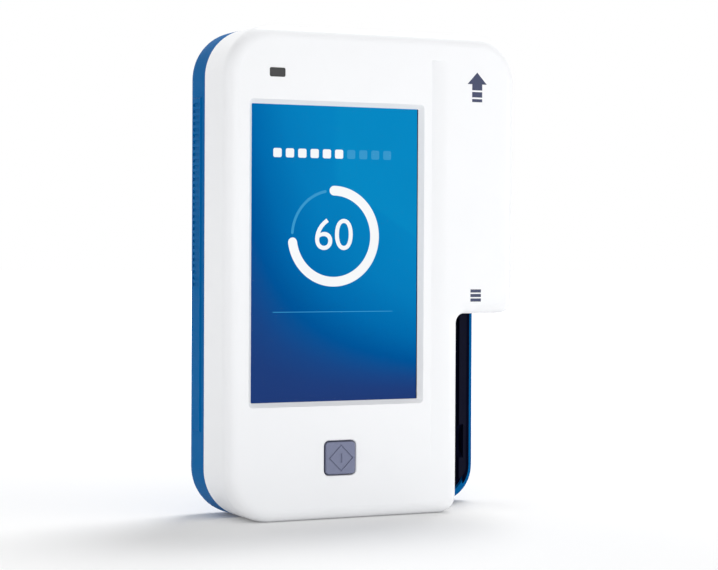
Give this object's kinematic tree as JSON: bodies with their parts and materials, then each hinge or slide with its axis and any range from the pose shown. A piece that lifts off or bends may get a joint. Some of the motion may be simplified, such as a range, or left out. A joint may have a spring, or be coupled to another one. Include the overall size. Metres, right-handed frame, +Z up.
{
  "type": "urine analyzer",
  "caption": "Hand-held reagent strip reader with a touch screen, start key and a motor-driven strip tray that slides up from an open loading bay under a hood.",
  "frame": {"origin": "middle of the base on which it stands upright, half way between the front of the key and the back of the feet", "axes": "+Z up, the screen faces -Y, the loading bay is at +X"},
  "size_m": [0.0948, 0.0322, 0.142],
  "materials": {
    "white_plastic": "satin moulded",
    "blue_plastic": "satin moulded",
    "black_plastic": "matt",
    "tray_black": "matt",
    "touch_glass": "clear gloss",
    "foam": "matt foam",
    "screen": "lit display",
    "plated_steel": "plated",
    "flex_film": "satin",
    "board_green": "solder mask",
    "chip_black": "matt",
    "led_white": "gloss",
    "status_window": "smoked clear",
    "nickel": "plated",
    "key_grey": "satin",
    "nylon_white": "matt",
    "ceramic_white": "matt",
    "acetal": "satin",
    "motor_steel": "plated",
    "brass": "machined",
    "head_glass": "clear",
    "socket_cream": "matt",
    "ribbon_white": "satin",
    "pack_grey": "matt",
    "gold_plate": "plated",
    "screw_steel": "black zinc",
    "foot_rubber": "matt"
  },
  "bodies": {
    "case": {"front_cover": "white_plastic", "rear_shell": "blue_plastic", "bay_liner": "black_plastic", "touch_glass": "touch_glass", "display_gasket": "foam", "lcd_panel": "screen", "display_frame": "plated_steel", "display_pads": "foam", "display_flex": "flex_film", "main_board": "board_green", "optic_board": "board_green", "processor": "chip_black", "memory_chips": "chip_black", "buzzer": "chip_black", "status_led": "led_white", "light_source": "led_white", "light_detectors": "chip_black", "home_sensor": "chip_black", "status_window": "status_window", "clock_cell": "nickel", "usb_socket": "nickel", "key_switch": "chip_black", "drive_plate": "plated_steel", "gear_pin": "plated_steel", "drive_motor": "motor_steel", "head_housing": "black_plastic", "head_window": "head_glass", "ribbon_sockets": "socket_cream", "head_ribbon": "ribbon_white", "motor_ribbon": "ribbon_white", "battery_pack": "pack_grey", "battery_contacts": "gold_plate", "contact_block": "chip_black", "case_screws": "screw_steel", "board_screws": "screw_steel", "chassis_screws": "screw_steel", "motor_screws": "screw_steel", "head_screws": "screw_steel", "optic_screws": "screw_steel", "rubber_feet": "foot_rubber"},
    "key": {"power_key": "key_grey", "key_plunger": "nylon_white"},
    "tray": {"strip_tray": "tray_black", "calibration_pad": "ceramic_white"},
    "drive_gear": {"drive_gear": "acetal"},
    "motor_rotor": {"motor_shaft": "plated_steel", "motor_pinion": "brass"},
    "battery_door": {"battery_door": "blue_plastic"}
  },
  "joints": [
    {"name": "key_press", "type": "slide", "parent": "case", "child": "key", "axis": [0, 1, 0], "range_m": [0, 0.0008], "stiffness_N_per_m": 400},
    {"name": "drive_gear_spin", "type": "hinge", "parent": "case", "child": "drive_gear", "pos_m": [0.0256, 0.00635, 0.07], "axis": [0, 1, 0], "range_deg": [-621, 0]},
    {"name": "tray_slide", "type": "slide", "parent": "case", "child": "tray", "axis": [0, 0, 1], "range_m": [0, 0.052]},
    {"name": "motor_spin", "type": "hinge", "parent": "case", "child": "motor_rotor", "pos_m": [0.01651, -0.00065, 0.07525], "axis": [0, 1, 0], "range_deg": [0, 1555]},
    {"name": "battery_door_swing", "type": "hinge", "parent": "case", "child": "battery_door", "pos_m": [-0.017, 0.01445, 0.0886], "axis": [1, 0, 0], "range_deg": [0, 40]}
  ],
  "couplings": [
    {"joint": "drive_gear_spin", "follows": "tray_slide", "rad_per_m": -208.33},
    {"joint": "motor_spin", "follows": "tray_slide", "rad_per_m": 520.83}
  ]
}
